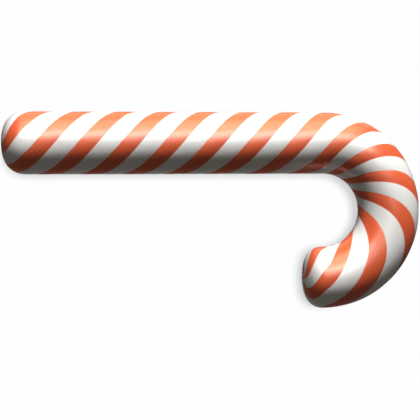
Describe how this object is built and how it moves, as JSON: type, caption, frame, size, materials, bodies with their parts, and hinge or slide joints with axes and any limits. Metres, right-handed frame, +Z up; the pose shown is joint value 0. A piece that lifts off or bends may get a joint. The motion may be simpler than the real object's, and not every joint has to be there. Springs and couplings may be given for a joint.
{
  "type": "candy cane",
  "caption": "Hooked stick of striped boiled sugar, thick and round, bent through a half circle at one end, with both ends rounded, lying on its side.",
  "frame": {"origin": "under the middle of the bounding box, on the surface that the cane lies on", "axes": "+X along the straight stick towards the hook, +Y from the hook's tip towards the straight stick, +Z up through the thickness of the lying cane"},
  "size_m": [0.15, 0.0704, 0.0219],
  "materials": {
    "striped_sugar": "glossy boiled sugar, white with coral red stripes that wind round the stick"
  },
  "bodies": {
    "root": {"cane": "striped_sugar"}
  },
  "joints": []
}
